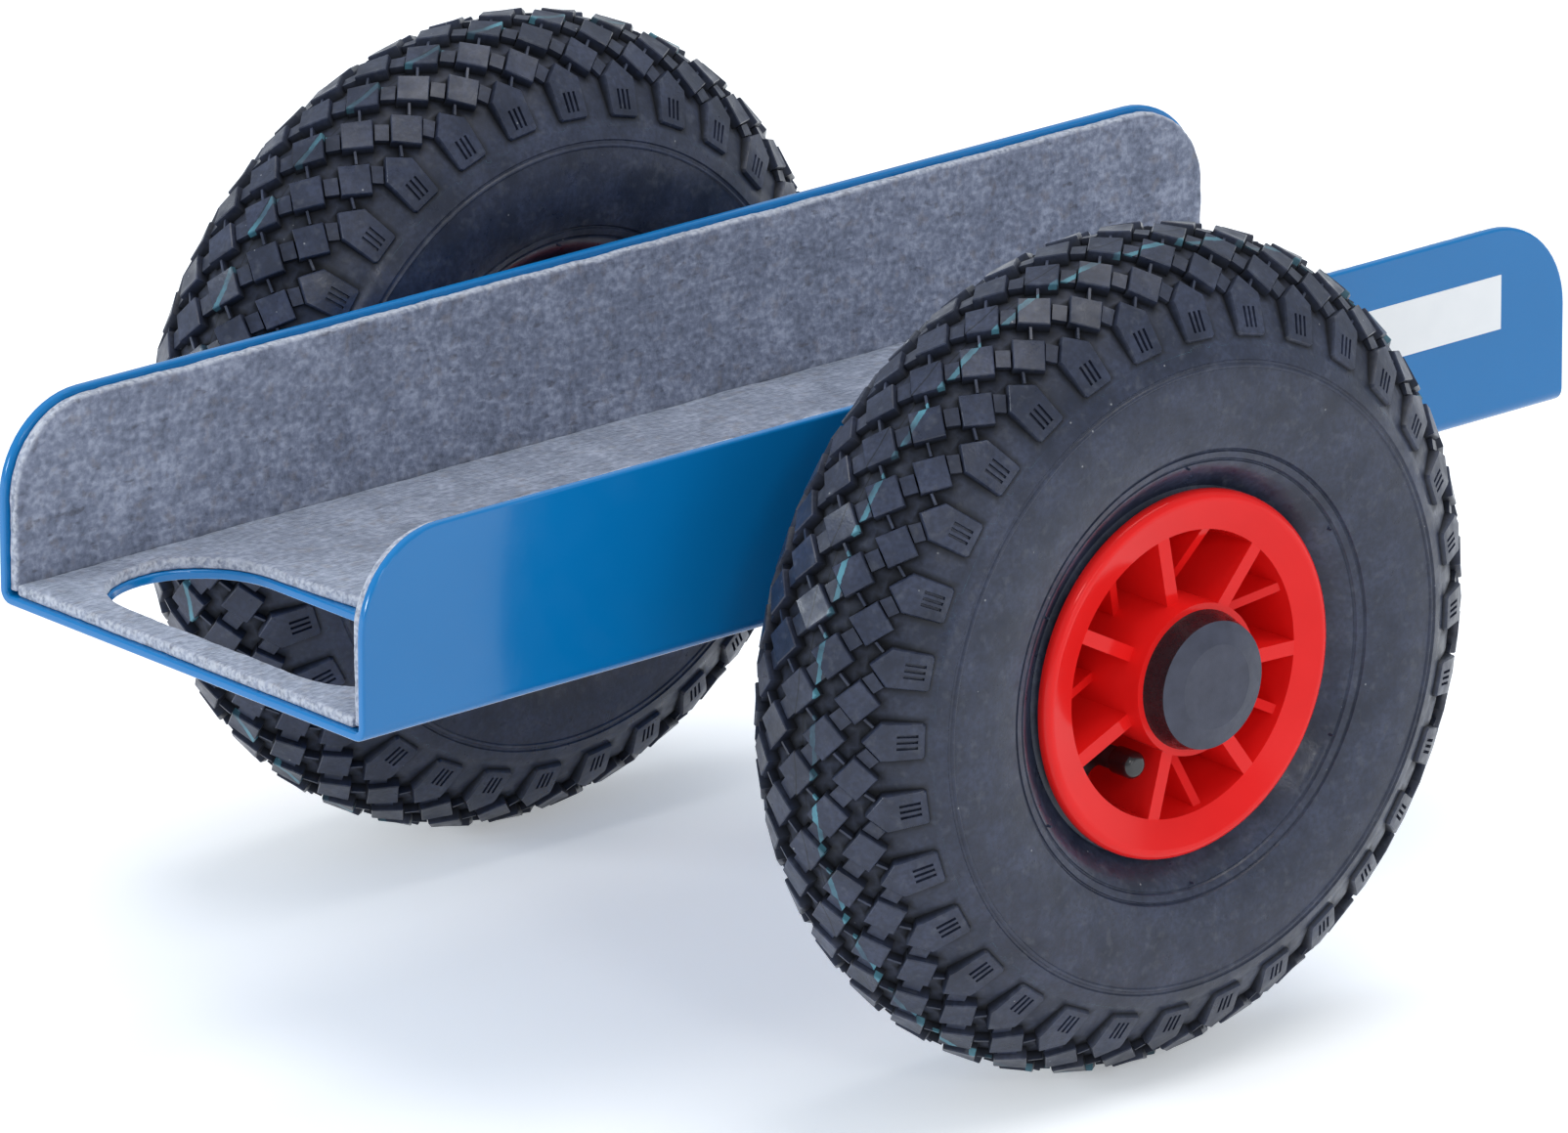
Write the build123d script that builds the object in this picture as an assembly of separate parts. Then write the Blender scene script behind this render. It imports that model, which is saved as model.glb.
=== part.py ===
"""Two-wheeled panel dolly: a felt-lined steel channel on one axle with two pneumatic wheels.

Frame: origin on the floor under the middle of the axle, +X along the channel away from its
grip hole, +Y along the axle towards the far wheel, +Z up. All sizes are in millimetres.
Each wheel is drawn in its own frame, with Z along the axle towards the wheel's outer face.
"""

import os
from math import acos, cos, degrees, radians, sin, sqrt

from build123d import *

# Channel
CHANNEL_LENGTH = 480.0
CHANNEL_WIDTH = 171.0
CHANNEL_HEIGHT = 62.0
SHEET = 3.0
BEND_INSIDE_RADIUS = 1.5
WALL_CORNER_RADIUS = 30.0

# Grip hole in the channel floor, an obround across the channel near its -X end
GRIP_LENGTH = 136.0
GRIP_WIDTH = 53.5
GRIP_FROM_END = 13.7

# Felt lining
FELT = 4.0
FELT_SETBACK = 1.6
FELT_HOLE_MARGIN = 0.6

# Blank label on the near wall
LABEL_LENGTH = 59.0
LABEL_HEIGHT = 17.5
LABEL_THICKNESS = 0.2
LABEL_FROM_END = 27.0
LABEL_FROM_TOP = 15.0

# Axle and what sits on it
TRACK = 288.0
AXLE_DIAMETER = 20.0
AXLE_STUB = 5.2
AXLE_CHAMFER = 1.0
COLLAR_DIAMETER = 32.0
COLLAR_WIDTH = 10.0
WASHER_THICKNESS = 2.5
RETAINER_DIAMETER = 27.0
RETAINER_THICKNESS = 1.2
RETAINER_GAP = 5.0
GROOVE_DEPTH = 0.5

# Weld beads between the axle and the channel underside
WELD_REACH = 11.0
WELD_THROAT_ANGLE = 35.0
WELD_INNER_GAP = 2.5
WELD_RUN = 36.0
WELD_PITCH = 60.0
WELD_RUNS = 3

# Tyre
TYRE_DIAMETER = 260.0
TYRE_WIDTH = 76.5
TYRE_WIDEST_RADIUS = 85.0
CARCASS_CROWN = 10.0
CARCASS_SIDE = 5.0
BEAD_WIDTH = 10.0
BEAD_HEIGHT = 7.0

# Tread, one pitch repeated round the tyre. A turn is an angle about the middle of the
# tyre's section, from its crown towards its side.
TREAD_PITCHES = 32
TREAD_PHASE = 9.0
TREAD_DEPTH = 4.0
LUG_TIP_TURN = 38.8
LUG_END_TURN = 65.7
GAP_WIDTH = 10.2
GAP_CLEARANCE = 12.0

# Inner tube and valve
TUBE_GAP = 0.3
TUBE_WALL = 2.5
TUBE_BELLY = 4.5
VALVE_DIAMETER = 7.0
VALVE_HOLE_CLEARANCE = 0.5
VALVE_PLANE = 9.0
VALVE_RADIUS = 30.6
VALVE_BEND = 7.0
VALVE_TIP = 26.0
VALVE_CAP_DIAMETER = 8.4
VALVE_CAP_LENGTH = 8.5
VALVE_CAP_OVERLAP = 3.5
VALVE_CAP_ROUND = 2.4

# Rim, two plastic halves that meet in the wheel's middle plane
RIM_WIDTH = 63.2
LIP_DIAMETER = 113.6
LIP_RISE = 3.3
LIP_THICKNESS = 4.4
LIP_ROUND = 2.8
SEAT_DIAMETER = 101.6
WELL_DIAMETER = 95.0
WELL_HALF_WIDTH = 8.5
WELL_RAMP = 3.0
RIM_OPENING = 89.0
RIM_DRAFT = 1.5
WEB = 4.0
RIB_COUNT = 7
RIB_PHASE = -2.3
RIB_WIDTH = 4.5
SLOPED_RIB_WIDTH = 3.0
SLOPED_RIB_OUTER_DROP = 2.0
SLOPED_RIB_HUB_DROP = 15.0
RIB_ROOT = 1.0
VALVE_POCKET = 4
VALVE_SHARE = 0.614

# Screws through the inner half into blind bosses of the outer half
SCREW_CIRCLE_RADIUS = 34.0
SCREW_SHARE = 0.25
SCREW_DIAMETER = 4.0
SCREW_CLEARANCE = 0.25
SCREW_HEAD_DIAMETER = 8.0
SCREW_HEAD_HEIGHT = 3.0
SCREW_SLOT = 1.2
SCREW_DEPTH = 8.0
BOSS_DIAMETER = 10.0
BOSS_CAP = 2.0

# Hub, bearings and hub cap
HUB_LENGTH = 75.0
HUB_DIAMETER = 47.0
BEARING_DIAMETER = 42.0
BEARING_WIDTH = 12.0
BEARING_RECESS = 4.0
BEARING_SHOULDER = 5.0
BALL_DIAMETER = 6.35
BALL_COUNT = 9
BALL_PLAY = 0.1
LAND_GAP = 1.5
SPACER_WALL = 3.0
CAP_BASE_DIAMETER = 43.0
CAP_FACE_DIAMETER = 39.4
CAP_FLAT_DIAMETER = 26.0
CAP_WALL = 2.5
CAP_ROOM = 1.5
CAP_PLUG = 3.0
CAP_CROWN = 2.0

# Places that follow from the sizes above
AXLE_HEIGHT = TYRE_DIAMETER / 2
AXLE_RADIUS = AXLE_DIAMETER / 2
UNDERSIDE = AXLE_HEIGHT + AXLE_RADIUS
FLOOR_TOP = UNDERSIDE + SHEET
WALL_TOP = UNDERSIDE + CHANNEL_HEIGHT
WALL_INSIDE = CHANNEL_WIDTH / 2 - SHEET
RIB_PITCH = 360.0 / RIB_COUNT
TYRE_RADIUS = TYRE_DIAMETER / 2
HALF_TYRE = TYRE_WIDTH / 2
LIP_RADIUS = LIP_DIAMETER / 2
SEAT_RADIUS = SEAT_DIAMETER / 2
FACE = RIM_WIDTH / 2
LIP_TOP = FACE + LIP_RISE
FLANGE_BACK = LIP_TOP - LIP_THICKNESS
HUB_END = HUB_LENGTH / 2
BEARING_FACE = HUB_END - BEARING_RECESS
BEARING_BACK = BEARING_FACE - BEARING_WIDTH
BALL_CIRCLE = (AXLE_DIAMETER + BEARING_DIAMETER) / 4
INNER_LAND = BALL_CIRCLE - LAND_GAP
OUTER_LAND = BALL_CIRCLE + LAND_GAP
RETAINER_FACE = BEARING_FACE + WASHER_THICKNESS
AXLE_END = RETAINER_FACE + RETAINER_THICKNESS + AXLE_STUB
CAP_FACE = AXLE_END + CAP_ROOM + CAP_WALL
VALVE_ANGLE = RIB_PHASE + (VALVE_POCKET + VALVE_SHARE) * RIB_PITCH

NEAR = Plane((0, -TRACK / 2, AXLE_HEIGHT), x_dir=(1, 0, 0), z_dir=(0, -1, 0)).location
FAR = Plane((0, TRACK / 2, AXLE_HEIGHT), x_dir=(-1, 0, 0), z_dir=(0, 1, 0)).location


def ring(outer, inner, low, high):
    """A plain ring about Z between two heights."""
    return Pos(0, 0, low) * extrude(Circle(outer) - Circle(inner), high - low)


def turned(outline):
    """A solid of revolution about Z from a closed outline of edges in the XZ plane."""
    return revolve(Plane.XZ * make_face(outline), Axis.Z)


def polar(radius, angle):
    """A place at a radius and an angle about Z."""
    return Rot(0, 0, angle) * Pos(radius, 0, 0)


def channel():
    """The bent U-channel with rounded wall corners and the grip hole."""
    outside = Pos(0, CHANNEL_HEIGHT / 2) * Rectangle(CHANNEL_WIDTH, CHANNEL_HEIGHT)
    outside = fillet(outside.vertices().group_by(Axis.Y)[0], BEND_INSIDE_RADIUS + SHEET)
    inside = Pos(0, SHEET + CHANNEL_HEIGHT / 2) * Rectangle(2 * WALL_INSIDE, CHANNEL_HEIGHT)
    inside = fillet(inside.vertices().group_by(Axis.Y)[0], BEND_INSIDE_RADIUS)
    section = Plane.YZ * Pos(0, UNDERSIDE) * (outside - inside)
    body = extrude(section, CHANNEL_LENGTH / 2, both=True)
    side_view = wall_outline(CHANNEL_LENGTH, UNDERSIDE, WALL_TOP, WALL_CORNER_RADIUS)
    body = body & extrude(side_view, CHANNEL_WIDTH, both=True)
    return body - grip_cut(0)


def wall_outline(length, low, high, corner):
    """Side view of a wall: a rectangle with its two top corners rounded."""
    flat = Pos(0, (low + high) / 2) * Rectangle(length, high - low)
    return Plane.XZ * fillet(flat.vertices().group_by(Axis.Y)[-1], corner)


def grip_cut(margin):
    """The obround of the grip hole, widened by a margin, through sheet and felt."""
    middle = GRIP_FROM_END + GRIP_WIDTH / 2 - CHANNEL_LENGTH / 2
    slot = SlotOverall(GRIP_LENGTH + 2 * margin, GRIP_WIDTH + 2 * margin, rotation=90)
    return Pos(middle, 0, FLOOR_TOP) * extrude(slot, SHEET + FELT, both=True)


def floor_felt():
    """The felt strip on the channel floor, between the two wall strips."""
    length = CHANNEL_LENGTH - 2 * FELT_SETBACK
    strip = Pos(0, 0, FLOOR_TOP + FELT / 2) * Box(length, 2 * (WALL_INSIDE - FELT), FELT)
    return strip - grip_cut(FELT_HOLE_MARGIN)


def wall_felt(side):
    """The felt strip on one wall, side -1 for the near wall and 1 for the far wall."""
    outline = wall_outline(
        CHANNEL_LENGTH - 2 * FELT_SETBACK,
        FLOOR_TOP + BEND_INSIDE_RADIUS,
        WALL_TOP - FELT_SETBACK,
        WALL_CORNER_RADIUS - FELT_SETBACK,
    )
    return Pos(0, side * (WALL_INSIDE - FELT / 2), 0) * extrude(outline, FELT / 2, both=True)


def label():
    """The blank label on the outside of the near wall."""
    return Pos(
        CHANNEL_LENGTH / 2 - LABEL_FROM_END - LABEL_LENGTH / 2,
        -(CHANNEL_WIDTH + LABEL_THICKNESS) / 2,
        WALL_TOP - LABEL_FROM_TOP - LABEL_HEIGHT / 2,
    ) * Box(LABEL_LENGTH, LABEL_THICKNESS, LABEL_HEIGHT)


def axle():
    """The axle bar, grooved for a retaining ring at each end."""
    half = TRACK / 2 + AXLE_END
    bar = Cylinder(AXLE_RADIUS, 2 * half)
    bar = chamfer(bar.edges().filter_by(GeomType.CIRCLE), AXLE_CHAMFER)
    for side in (-1, 1):
        middle = side * (TRACK / 2 + RETAINER_FACE + RETAINER_THICKNESS / 2)
        groove = ring(
            AXLE_DIAMETER,
            AXLE_RADIUS - GROOVE_DEPTH,
            middle - RETAINER_THICKNESS / 2,
            middle + RETAINER_THICKNESS / 2,
        )
        bar -= groove
    return Pos(0, 0, AXLE_HEIGHT) * Rot(90, 0, 0) * bar


def axle_welds():
    """Fillet weld beads that run along both sides of the axle under the channel."""
    throat = radians(WELD_THROAT_ANGLE)
    corners = [
        (WELD_INNER_GAP, AXLE_RADIUS),
        (WELD_REACH, AXLE_RADIUS),
        (AXLE_RADIUS * cos(throat), AXLE_RADIUS * sin(throat)),
        (WELD_INNER_GAP, 0),
    ]
    bead = make_face(Polyline(*corners, close=True)) - Circle(AXLE_RADIUS)
    bead = Plane.XZ * Pos(0, AXLE_HEIGHT) * bead
    runs = []
    for index in range(WELD_RUNS):
        middle = (index - (WELD_RUNS - 1) / 2) * WELD_PITCH
        run = Pos(0, middle, 0) * extrude(bead, WELD_RUN / 2, both=True)
        runs += [run, mirror(run, Plane.YZ)]
    return Compound(children=[solid for run in runs for solid in run.solids()])


def stop_collar():
    """The ring welded on the axle that stops the wheel on its inner side."""
    outer = -BEARING_FACE - WASHER_THICKNESS
    return ring(COLLAR_DIAMETER / 2, AXLE_RADIUS, outer - COLLAR_WIDTH, outer)


def washer(low):
    """A washer as wide as a bearing's inner ring."""
    return ring(INNER_LAND, AXLE_RADIUS, low, low + WASHER_THICKNESS)


def retaining_ring():
    """The open ring in the axle's groove."""
    inner = AXLE_RADIUS - GROOVE_DEPTH
    whole = ring(RETAINER_DIAMETER / 2, inner, RETAINER_FACE, RETAINER_FACE + RETAINER_THICKNESS)
    gap = Pos(RETAINER_DIAMETER / 2, 0, RETAINER_FACE) * Box(
        RETAINER_DIAMETER, RETAINER_GAP, 4 * RETAINER_THICKNESS
    )
    return whole - gap


def bearing_rings(outer, inner):
    """One ring of each of the wheel's two ball bearings, with its ball groove."""
    middle = (BEARING_FACE + BEARING_BACK) / 2
    groove = Torus(BALL_CIRCLE, BALL_DIAMETER / 2 + BALL_PLAY)
    one = ring(outer, inner, -BEARING_WIDTH / 2, BEARING_WIDTH / 2) - groove
    return Compound(children=[Pos(0, 0, side * middle) * one.solid() for side in (-1, 1)])


def bearing_balls():
    """The balls of the wheel's two bearings."""
    middle = (BEARING_FACE + BEARING_BACK) / 2
    balls = []
    for side in (-1, 1):
        for index in range(BALL_COUNT):
            place = polar(BALL_CIRCLE, index * 360.0 / BALL_COUNT)
            balls.append(Pos(0, 0, side * middle) * place * Solid.make_sphere(BALL_DIAMETER / 2))
    return Compound(children=balls)


def bearing_spacer():
    """The tube on the axle that keeps the two inner rings apart."""
    return ring(AXLE_RADIUS + SPACER_WALL, AXLE_RADIUS, -BEARING_BACK, BEARING_BACK)


def rim_section():
    """Half section of a rim half: hub, web, barrel, bead seat and a rounded lip above a dished face."""
    opening = RIM_OPENING / 2
    shoulder = BEARING_DIAMETER / 2 - BEARING_SHOULDER
    corners = [
        (shoulder, 0),
        (WELL_DIAMETER / 2, 0),
        (WELL_DIAMETER / 2, WELL_HALF_WIDTH),
        (SEAT_RADIUS, WELL_HALF_WIDTH + WELL_RAMP),
        (SEAT_RADIUS, FLANGE_BACK),
        (LIP_RADIUS, FLANGE_BACK),
        (LIP_RADIUS, LIP_TOP),
        (opening, FACE),
        (opening - RIM_DRAFT, WEB),
        (HUB_DIAMETER / 2, WEB),
        (HUB_DIAMETER / 2, HUB_END),
        (BEARING_DIAMETER / 2, HUB_END),
        (BEARING_DIAMETER / 2, BEARING_BACK),
        (shoulder, BEARING_BACK),
    ]
    face = make_face(Polyline(*corners, close=True))
    lip = face.vertices().sort_by_distance((LIP_RADIUS, LIP_TOP))[0]
    return fillet(lip, LIP_ROUND)


def rib(width, outer_top, hub_top):
    """A radial rib along X from hub to barrel, its top sloping between two heights."""
    inner = HUB_DIAMETER / 2 - RIB_ROOT
    outer = RIM_OPENING / 2 + RIB_ROOT
    corners = [(inner, 0), (outer, 0), (outer, outer_top), (inner, hub_top)]
    face = Plane.XZ * make_face(Polyline(*corners, close=True))
    return extrude(face, width / 2, both=True)


def screw_places():
    """Places of the rim screws, one beside each main rib."""
    first = RIB_PHASE + SCREW_SHARE * RIB_PITCH
    return [polar(SCREW_CIRCLE_RADIUS, first + index * RIB_PITCH) for index in range(RIB_COUNT)]


def rim_half(sloped_pockets):
    """A ribbed rim half, with sloped ribs in the pockets that are listed."""
    half = revolve(Plane.XZ * rim_section(), Axis.Z)
    main = rib(RIB_WIDTH, FACE, FACE)
    sloped = rib(SLOPED_RIB_WIDTH, FACE - SLOPED_RIB_OUTER_DROP, FACE - SLOPED_RIB_HUB_DROP)
    half += [Rot(0, 0, RIB_PHASE + index * RIB_PITCH) * main for index in range(RIB_COUNT)]
    half += [Rot(0, 0, RIB_PHASE + (index + 0.5) * RIB_PITCH) * sloped for index in sloped_pockets]
    return half


def rim_outer_half():
    """The half with the valve hole and the blind screw bosses."""
    half = rim_half([index for index in range(RIB_COUNT) if index != VALVE_POCKET])
    low = Align.CENTER, Align.CENTER, Align.MIN
    boss = Cylinder(BOSS_DIAMETER / 2, SCREW_DEPTH + BOSS_CAP, align=low)
    pilot = Cylinder(SCREW_DIAMETER / 2, 2 * SCREW_DEPTH)
    half += [place * boss for place in screw_places()]
    half -= [place * pilot for place in screw_places()]
    hole = Cylinder(VALVE_DIAMETER / 2 + VALVE_HOLE_CLEARANCE, LIP_RADIUS - VALVE_RADIUS)
    middle = Pos((LIP_RADIUS + VALVE_RADIUS) / 2, 0, VALVE_PLANE)
    return half - Rot(0, 0, VALVE_ANGLE) * middle * Rot(0, 90, 0) * hole


def rim_inner_half():
    """The half that the screws pass through, turned over about a screw's radius."""
    half = rim_half(range(RIB_COUNT))
    hole = Cylinder(SCREW_DIAMETER / 2 + SCREW_CLEARANCE, 3 * WEB)
    half -= [place * hole for place in screw_places()]
    turn = RIB_PHASE + SCREW_SHARE * RIB_PITCH
    return Rot(0, 0, turn) * Rot(180, 0, 0) * Rot(0, 0, -turn) * half


def rim_screws():
    """Slotted screws with their heads on the inner half's web."""
    low = Align.CENTER, Align.CENTER, Align.MIN
    head = Cylinder(SCREW_HEAD_DIAMETER / 2, SCREW_HEAD_HEIGHT, align=low)
    head = Pos(0, 0, -WEB - SCREW_HEAD_HEIGHT) * head
    shank = Pos(0, 0, -WEB) * Cylinder(SCREW_DIAMETER / 2, WEB + SCREW_DEPTH, align=low)
    slot = Pos(0, 0, -WEB - SCREW_HEAD_HEIGHT) * Box(SCREW_HEAD_DIAMETER, SCREW_SLOT, 2 * SCREW_SLOT)
    one = head + shank - slot
    return Compound(children=[place * one.solid() for place in screw_places()])


def half_ellipse(widest, side, crown, low):
    """Edges from a low point on -Z over the crown to its mirror on +Z, as ellipse arcs.

    widest is the radius where the section is widest, side the half width there, crown the
    radius at the crown, and low the (radius, half width) where both sides end.
    """
    low_radius, low_half = low
    below = (widest - low_radius) / sqrt(1 - (low_half / side) ** 2)
    turn = degrees(acos((widest - low_radius) / below))
    middle = (widest, 0)
    return [
        EllipticalCenterArc(middle, below, side, 180 + turn, arc_size=90 - turn),
        EllipticalCenterArc(middle, crown - widest, side, 270, arc_size=180),
        EllipticalCenterArc(middle, below, side, 90, arc_size=90 - turn),
    ]


def tyre_outline():
    """Half section of the tyre, open between its two beads."""
    outside = half_ellipse(TYRE_WIDEST_RADIUS, HALF_TYRE, TYRE_RADIUS, (LIP_RADIUS, FLANGE_BACK))
    toe = FLANGE_BACK - BEAD_WIDTH
    bead_top = SEAT_RADIUS + BEAD_HEIGHT
    inside = half_ellipse(
        TYRE_WIDEST_RADIUS,
        HALF_TYRE - CARCASS_SIDE,
        TYRE_RADIUS - CARCASS_CROWN,
        (bead_top, toe),
    )
    beads = []
    for side in (-1, 1):
        corners = [
            (LIP_RADIUS, side * FLANGE_BACK),
            (SEAT_RADIUS, side * FLANGE_BACK),
            (SEAT_RADIUS, side * toe),
            (bead_top, side * toe),
        ]
        beads.append(Polyline(*corners))
    return [*outside, *inside, *beads]


def on_tyre(turn, depth):
    """A place on the tyre's half section at a turn from its crown, at a depth below the surface."""
    crown = TYRE_RADIUS - TYRE_WIDEST_RADIUS
    across = cos(radians(turn)) * HALF_TYRE
    along = sin(radians(turn)) * crown
    share = depth / sqrt(across**2 + along**2)
    radius = TYRE_WIDEST_RADIUS + cos(radians(turn)) * crown - share * across
    return radius, sin(radians(turn)) * HALF_TYRE - share * along


def lug_gap():
    """What is cut away between two lugs of the outer shoulder, growing shallow down the side."""
    corners = [
        on_tyre(LUG_TIP_TURN, TREAD_DEPTH),
        on_tyre(LUG_END_TURN, 0),
        on_tyre(LUG_END_TURN, -GAP_CLEARANCE),
        on_tyre(LUG_TIP_TURN, -GAP_CLEARANCE),
    ]
    side_view = Plane.XZ * make_face(Polyline(*corners, close=True))
    return extrude(side_view, GAP_WIDTH / 2, both=True)


def tyre():
    """The tyre with lugs on both shoulders, those of one side opposite the gaps of the other."""
    pitch = 360.0 / TREAD_PITCHES
    outer = lug_gap()
    inner = mirror(outer, Plane.XY)
    gaps = []
    for index in range(TREAD_PITCHES):
        lug = TREAD_PHASE + index * pitch
        gaps += [Rot(0, 0, lug + pitch / 2) * outer, Rot(0, 0, lug) * inner]
    return turned(tyre_outline()) - gaps


def tube_outline(inset):
    """Half section of the inner tube's skin, set in from its outside."""
    toe = FLANGE_BACK - BEAD_WIDTH - TUBE_GAP - inset
    bead_top = SEAT_RADIUS + BEAD_HEIGHT + TUBE_GAP + inset
    arcs = half_ellipse(
        TYRE_WIDEST_RADIUS,
        HALF_TYRE - CARCASS_SIDE - TUBE_GAP - inset,
        TYRE_RADIUS - CARCASS_CROWN - TUBE_GAP - inset,
        (bead_top, toe),
    )
    belly = ThreePointArc((bead_top, toe), (bead_top - TUBE_BELLY, 0), (bead_top, -toe))
    return [*arcs, belly]


def inner_tube():
    """The inflated tube, open where the valve stem enters it."""
    tube = turned(tube_outline(0)) - turned(tube_outline(TUBE_WALL))
    return tube - valve_shaft(TYRE_WIDEST_RADIUS)


def valve_shaft(length):
    """The straight radial run of the valve stem, up to a radius."""
    start = VALVE_RADIUS + VALVE_BEND
    run = Cylinder(VALVE_DIAMETER / 2, length - start, align=(Align.CENTER, Align.CENTER, Align.MIN))
    return Rot(0, 0, VALVE_ANGLE) * Pos(start, 0, VALVE_PLANE) * Rot(0, 90, 0) * run


def valve_stem():
    """The stem from the tube in through the rim, bent towards the wheel's outer face."""
    root = SEAT_RADIUS + BEAD_HEIGHT + TUBE_GAP + TUBE_WALL
    corners = [(root, VALVE_PLANE), (VALVE_RADIUS, VALVE_PLANE), (VALVE_RADIUS, VALVE_TIP)]
    path = Plane.XZ * FilletPolyline(*corners, radius=VALVE_BEND)
    stem = sweep(Plane(path @ 0, z_dir=path % 0) * Circle(VALVE_DIAMETER / 2), path)
    return Rot(0, 0, VALVE_ANGLE) * stem


def valve_cap():
    """The dust cap over the end of the valve stem."""
    base = VALVE_TIP - VALVE_CAP_OVERLAP
    low = Align.CENTER, Align.CENTER, Align.MIN
    cap = Cylinder(VALVE_CAP_DIAMETER / 2, VALVE_CAP_LENGTH, align=low)
    cap = fillet(cap.edges().group_by(Axis.Z)[-1], VALVE_CAP_ROUND)
    cap -= Cylinder(VALVE_DIAMETER / 2, VALVE_CAP_OVERLAP, align=low)
    return polar(VALVE_RADIUS, VALVE_ANGLE) * Pos(0, 0, base) * cap


def hub_cap():
    """The cap that plugs into the hub end, a low cone with a flat middle."""
    bore = BEARING_DIAMETER / 2
    cavity = bore - CAP_WALL
    corners = [
        (0, CAP_FACE - CAP_WALL),
        (CAP_FLAT_DIAMETER / 2, CAP_FACE - CAP_WALL),
        (cavity, CAP_FACE - CAP_CROWN - CAP_WALL),
        (cavity, HUB_END - CAP_PLUG),
        (bore, HUB_END - CAP_PLUG),
        (bore, HUB_END),
        (CAP_BASE_DIAMETER / 2, HUB_END),
        (CAP_FACE_DIAMETER / 2, CAP_FACE - CAP_CROWN),
        (CAP_FLAT_DIAMETER / 2, CAP_FACE),
        (0, CAP_FACE),
    ]
    return turned(Polyline(*corners, close=True))


def wheel_nodes():
    """Every piece of one wheel and of its seat on the axle, in the wheel's frame."""
    return {
        "tyre": tyre(),
        "inner_tube": inner_tube(),
        "valve_stem": valve_stem(),
        "valve_cap": valve_cap(),
        "rim_outer_half": rim_outer_half(),
        "rim_inner_half": rim_inner_half(),
        "rim_screws": rim_screws(),
        "bearing_outer_rings": bearing_rings(BEARING_DIAMETER / 2, OUTER_LAND),
        "bearing_balls": bearing_balls(),
        "bearing_inner_rings": bearing_rings(INNER_LAND, AXLE_RADIUS),
        "bearing_spacer": bearing_spacer(),
        "stop_collar": stop_collar(),
        "inner_washer": washer(-BEARING_FACE - WASHER_THICKNESS),
        "outer_washer": washer(BEARING_FACE),
        "retaining_ring": retaining_ring(),
        "hub_cap": hub_cap(),
    }


def chassis_nodes():
    """The pieces of the chassis, in the dolly's frame."""
    return {
        "channel": channel(),
        "floor_felt": floor_felt(),
        "near_wall_felt": wall_felt(-1),
        "far_wall_felt": wall_felt(1),
        "label": label(),
        "axle": axle(),
        "axle_welds": axle_welds(),
    }


def main():
    """Write one STEP file per node."""
    nodes = chassis_nodes()
    for name, shape in wheel_nodes().items():
        nodes["near_" + name] = NEAR * shape
        nodes["far_" + name] = FAR * shape
    os.makedirs("parts", exist_ok=True)
    for name, shape in nodes.items():
        export_step(shape, f"parts/{name}.step")


if __name__ == "__main__":
    main()
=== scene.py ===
"""Looks of a two-wheeled panel dolly: a blue felt-lined steel channel on two pneumatic wheels.

Sizes are in millimetres and are turned into metres where a mesh is made. The frame has its
origin on the floor under the middle of the axle, +X along the channel away from its grip
hole, +Y along the axle towards the far wheel and +Z up.
"""

import math

import bmesh
import bpy
import numpy as np
from mathutils import Matrix, Vector, noise
from mathutils.geometry import delaunay_2d_cdt


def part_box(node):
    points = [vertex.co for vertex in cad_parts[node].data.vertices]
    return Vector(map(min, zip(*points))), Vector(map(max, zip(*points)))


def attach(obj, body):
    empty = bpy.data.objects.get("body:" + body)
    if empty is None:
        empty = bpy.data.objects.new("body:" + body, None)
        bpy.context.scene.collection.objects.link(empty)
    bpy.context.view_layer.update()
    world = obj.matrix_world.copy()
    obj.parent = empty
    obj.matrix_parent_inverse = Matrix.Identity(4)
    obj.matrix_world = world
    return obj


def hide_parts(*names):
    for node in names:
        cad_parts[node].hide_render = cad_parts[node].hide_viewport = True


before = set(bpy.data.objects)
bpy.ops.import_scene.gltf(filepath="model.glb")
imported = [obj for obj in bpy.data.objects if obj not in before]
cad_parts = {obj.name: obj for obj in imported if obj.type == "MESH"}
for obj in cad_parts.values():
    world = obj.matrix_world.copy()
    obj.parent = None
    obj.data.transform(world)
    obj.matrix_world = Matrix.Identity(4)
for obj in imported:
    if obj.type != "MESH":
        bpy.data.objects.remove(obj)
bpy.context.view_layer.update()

MM = 0.001

# How close two flat points may lie before they are one, and the filling of a whole outline
SHEET_TOLERANCE = 1e-6
TREAD_TOLERANCE = 1e-7
PITCH_TOLERANCE = 1e-6
MERGE_DISTANCE = 0.005
FILL_HULL = 0

# Camera, fitted to the photograph
AXLE_HEIGHT = 130.0
CAMERA_AZIMUTH = -40.807
CAMERA_ELEVATION = 18.962
CAMERA_ROLL = -0.1993
CAMERA_DISTANCE = 4957.2
CAMERA_RIGHT = -3.413
CAMERA_UP = -10.793
CAMERA_LENS = 374.386
CAMERA_SENSOR = 36.0

# Channel, a bent sheet, and the steps in its round edges
SHEET = 3.0
BEND_INSIDE_RADIUS = 1.5
WALL_CORNER_RADIUS = 30.0
SHEET_EDGE = 0.9
GRIP_LENGTH = 136.0
GRIP_WIDTH = 53.5
GRIP_HALF_STRAIGHT = (GRIP_LENGTH - GRIP_WIDTH) / 2
GRIP_FROM_END = 13.7
CORNER_STEPS = 14
ROUND_END_STEPS = 20
BEND_STEPS = 6
CHANNEL_COLUMNS = 24
EDGE_STEPS = 3
SHEET_CREASE_ANGLE = 30.0
MITRE_LIMIT = 0.3

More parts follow.
